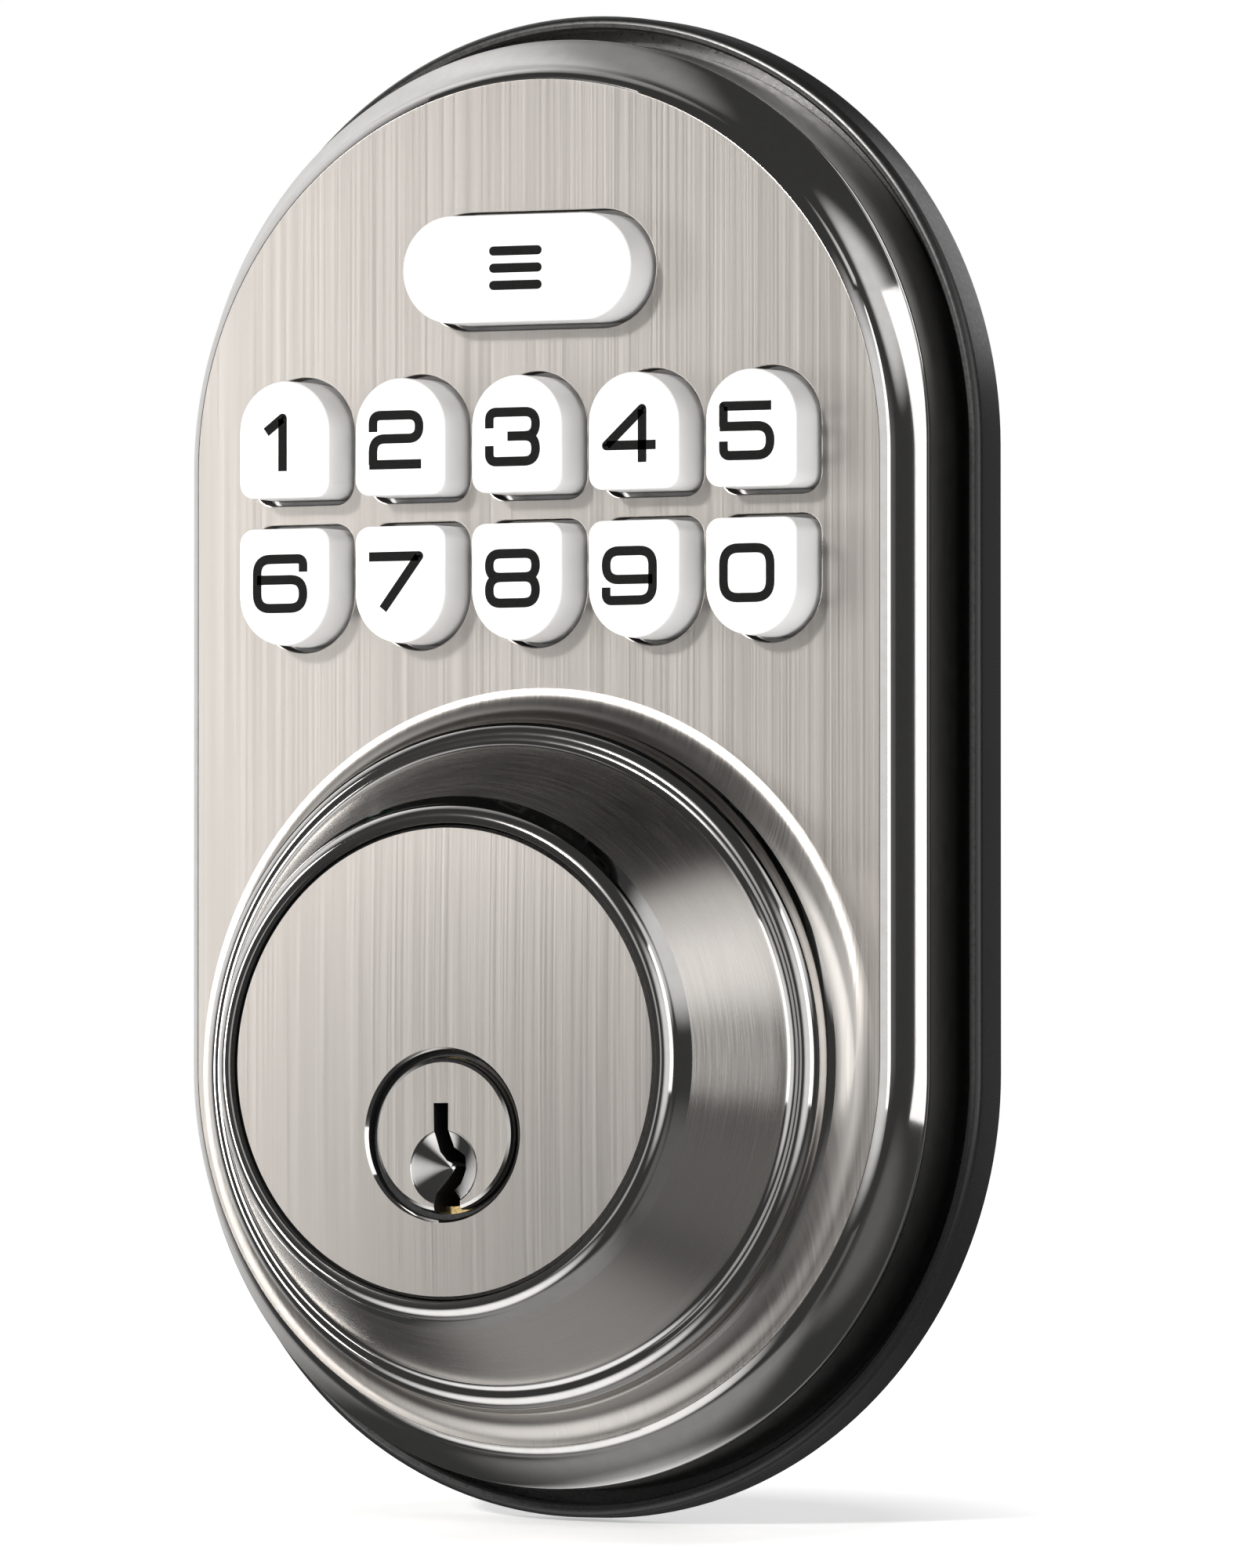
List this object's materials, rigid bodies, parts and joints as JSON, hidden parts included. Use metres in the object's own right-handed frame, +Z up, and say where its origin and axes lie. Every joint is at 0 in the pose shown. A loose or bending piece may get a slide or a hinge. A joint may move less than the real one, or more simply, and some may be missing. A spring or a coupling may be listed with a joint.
{
  "type": "keypad smart lock",
  "caption": "Obround keypad deadbolt exterior: push keys above a raised key cylinder, with its pins, tailpiece, circuit board, mounting plate and door gasket.",
  "frame": {"origin": "on the door plane, at the rear face of the gasket, midway between the housing's two half-circle centres", "axes": "+Z up, -Y out of the door towards the user, +X to the user's right"},
  "size_m": [0.0802, 0.0811, 0.1374],
  "materials": {
    "satin_nickel": "vertical brushed satin nickel with polished edges",
    "white_keys": "satin moulded white with black printed digits",
    "black_rubber": "satin black rubber",
    "zinc_steel": "zinc plated",
    "silicone": "matte dark grey silicone",
    "circuit_board": "green solder mask",
    "black_plastic": "moulded black",
    "brass": "machined",
    "spring_steel": "bright drawn"
  },
  "bodies": {
    "lock_body": {"front_housing": "satin_nickel", "weather_gasket": "black_rubber", "mounting_plate": "zinc_steel", "keypad_membrane": "silicone", "keypad_board": "circuit_board", "controller_chip": "black_plastic", "sounder": "black_plastic", "cable_socket": "black_plastic", "cable_grommet": "black_rubber", "board_screw_1": "zinc_steel", "board_screw_2": "zinc_steel", "board_screw_3": "zinc_steel", "board_screw_4": "zinc_steel", "plate_screw_1": "zinc_steel", "plate_screw_2": "zinc_steel", "plate_screw_3": "zinc_steel", "plate_screw_4": "zinc_steel", "plate_screw_5": "zinc_steel", "cylinder_screw_left": "zinc_steel", "cylinder_screw_right": "zinc_steel", "mounting_post_left": "zinc_steel", "mounting_post_right": "zinc_steel", "cylinder_face_disc": "satin_nickel", "cylinder_shell": "brass", "chamber_cap": "brass", "pin_spring_1": "spring_steel", "pin_spring_2": "spring_steel", "pin_spring_3": "spring_steel", "pin_spring_4": "spring_steel", "pin_spring_5": "spring_steel"},
    "plug": {"cylinder_plug": "satin_nickel", "plug_retainer": "brass"},
    "tailpiece": {"tailpiece": "zinc_steel"},
    "function_button_cap": {"function_button": "white_keys"},
    "key_1_cap": {"key_1": "white_keys"},
    "key_2_cap": {"key_2": "white_keys"},
    "key_3_cap": {"key_3": "white_keys"},
    "key_4_cap": {"key_4": "white_keys"},
    "key_5_cap": {"key_5": "white_keys"},
    "key_6_cap": {"key_6": "white_keys"},
    "key_7_cap": {"key_7": "white_keys"},
    "key_8_cap": {"key_8": "white_keys"},
    "key_9_cap": {"key_9": "white_keys"},
    "key_0_cap": {"key_0": "white_keys"},
    "key_pin_1_body": {"key_pin_1": "brass"},
    "driver_pin_1_body": {"driver_pin_1": "spring_steel"},
    "key_pin_2_body": {"key_pin_2": "brass"},
    "driver_pin_2_body": {"driver_pin_2": "spring_steel"},
    "key_pin_3_body": {"key_pin_3": "brass"},
    "driver_pin_3_body": {"driver_pin_3": "spring_steel"},
    "key_pin_4_body": {"key_pin_4": "brass"},
    "driver_pin_4_body": {"driver_pin_4": "spring_steel"},
    "key_pin_5_body": {"key_pin_5": "brass"},
    "driver_pin_5_body": {"driver_pin_5": "spring_steel"}
  },
  "joints": [
    {"name": "plug_turn", "type": "hinge", "parent": "lock_body", "child": "plug", "pos_m": [0, -0.02, -0.0344], "axis": [0, 1, 0], "range_deg": [-90, 90]},
    {"name": "tailpiece_turn", "type": "hinge", "parent": "lock_body", "child": "tailpiece", "pos_m": [0, -0.02, -0.0344], "axis": [0, 1, 0], "range_deg": [-90, 90]},
    {"name": "function_button_cap_press", "type": "slide", "parent": "lock_body", "child": "function_button_cap", "axis": [0, 1, 0], "range_m": [0, 0.0012], "stiffness_N_per_m": 1500, "springref_m": -0.0004, "deforming": ["keypad_membrane"]},
    {"name": "key_1_cap_press", "type": "slide", "parent": "lock_body", "child": "key_1_cap", "axis": [0, 1, 0], "range_m": [0, 0.0012], "stiffness_N_per_m": 1000, "springref_m": -0.0004, "deforming": ["keypad_membrane"]},
    {"name": "key_2_cap_press", "type": "slide", "parent": "lock_body", "child": "key_2_cap", "axis": [0, 1, 0], "range_m": [0, 0.0012], "stiffness_N_per_m": 1000, "springref_m": -0.0004, "deforming": ["keypad_membrane"]},
    {"name": "key_3_cap_press", "type": "slide", "parent": "lock_body", "child": "key_3_cap", "axis": [0, 1, 0], "range_m": [0, 0.0012], "stiffness_N_per_m": 1000, "springref_m": -0.0004, "deforming": ["keypad_membrane"]},
    {"name": "key_4_cap_press", "type": "slide", "parent": "lock_body", "child": "key_4_cap", "axis": [0, 1, 0], "range_m": [0, 0.0012], "stiffness_N_per_m": 1000, "springref_m": -0.0004, "deforming": ["keypad_membrane"]},
    {"name": "key_5_cap_press", "type": "slide", "parent": "lock_body", "child": "key_5_cap", "axis": [0, 1, 0], "range_m": [0, 0.0012], "stiffness_N_per_m": 1000, "springref_m": -0.0004, "deforming": ["keypad_membrane"]},
    {"name": "key_6_cap_press", "type": "slide", "parent": "lock_body", "child": "key_6_cap", "axis": [0, 1, 0], "range_m": [0, 0.0012], "stiffness_N_per_m": 1000, "springref_m": -0.0004, "deforming": ["keypad_membrane"]},
    {"name": "key_7_cap_press", "type": "slide", "parent": "lock_body", "child": "key_7_cap", "axis": [0, 1, 0], "range_m": [0, 0.0012], "stiffness_N_per_m": 1000, "springref_m": -0.0004, "deforming": ["keypad_membrane"]},
    {"name": "key_8_cap_press", "type": "slide", "parent": "lock_body", "child": "key_8_cap", "axis": [0, 1, 0], "range_m": [0, 0.0012], "stiffness_N_per_m": 1000, "springref_m": -0.0004, "deforming": ["keypad_membrane"]},
    {"name": "key_9_cap_press", "type": "slide", "parent": "lock_body", "child": "key_9_cap", "axis": [0, 1, 0], "range_m": [0, 0.0012], "stiffness_N_per_m": 1000, "springref_m": -0.0004, "deforming": ["keypad_membrane"]},
    {"name": "key_0_cap_press", "type": "slide", "parent": "lock_body", "child": "key_0_cap", "axis": [0, 1, 0], "range_m": [0, 0.0012], "stiffness_N_per_m": 1000, "springref_m": -0.0004, "deforming": ["keypad_membrane"]},
    {"name": "key_pin_1_drop", "type": "slide", "parent": "plug", "child": "key_pin_1_body", "axis": [0, 0, 1], "range_m": [-0.0014, 0]},
    {"name": "driver_pin_1_lift", "type": "slide", "parent": "lock_body", "child": "driver_pin_1_body", "axis": [0, 0, 1], "range_m": [0, 0.0014], "stiffness_N_per_m": 150, "springref_m": -0.002, "deforming": ["pin_spring_1"]},
    {"name": "key_pin_2_drop", "type": "slide", "parent": "plug", "child": "key_pin_2_body", "axis": [0, 0, 1], "range_m": [-0.0014, 0]},
    {"name": "driver_pin_2_lift", "type": "slide", "parent": "lock_body", "child": "driver_pin_2_body", "axis": [0, 0, 1], "range_m": [0, 0.0014], "stiffness_N_per_m": 150, "springref_m": -0.002, "deforming": ["pin_spring_2"]},
    {"name": "key_pin_3_drop", "type": "slide", "parent": "plug", "child": "key_pin_3_body", "axis": [0, 0, 1], "range_m": [-0.0014, 0]},
    {"name": "driver_pin_3_lift", "type": "slide", "parent": "lock_body", "child": "driver_pin_3_body", "axis": [0, 0, 1], "range_m": [0, 0.0014], "stiffness_N_per_m": 150, "springref_m": -0.002, "deforming": ["pin_spring_3"]},
    {"name": "key_pin_4_drop", "type": "slide", "parent": "plug", "child": "key_pin_4_body", "axis": [0, 0, 1], "range_m": [-0.0014, 0]},
    {"name": "driver_pin_4_lift", "type": "slide", "parent": "lock_body", "child": "driver_pin_4_body", "axis": [0, 0, 1], "range_m": [0, 0.0014], "stiffness_N_per_m": 150, "springref_m": -0.002, "deforming": ["pin_spring_4"]},
    {"name": "key_pin_5_drop", "type": "slide", "parent": "plug", "child": "key_pin_5_body", "axis": [0, 0, 1], "range_m": [-0.0014, 0]},
    {"name": "driver_pin_5_lift", "type": "slide", "parent": "lock_body", "child": "driver_pin_5_body", "axis": [0, 0, 1], "range_m": [0, 0.0014], "stiffness_N_per_m": 150, "springref_m": -0.002, "deforming": ["pin_spring_5"]}
  ],
  "couplings": [
    {"joint": "tailpiece_turn", "follows": "plug_turn", "ratio": 1}
  ]
}
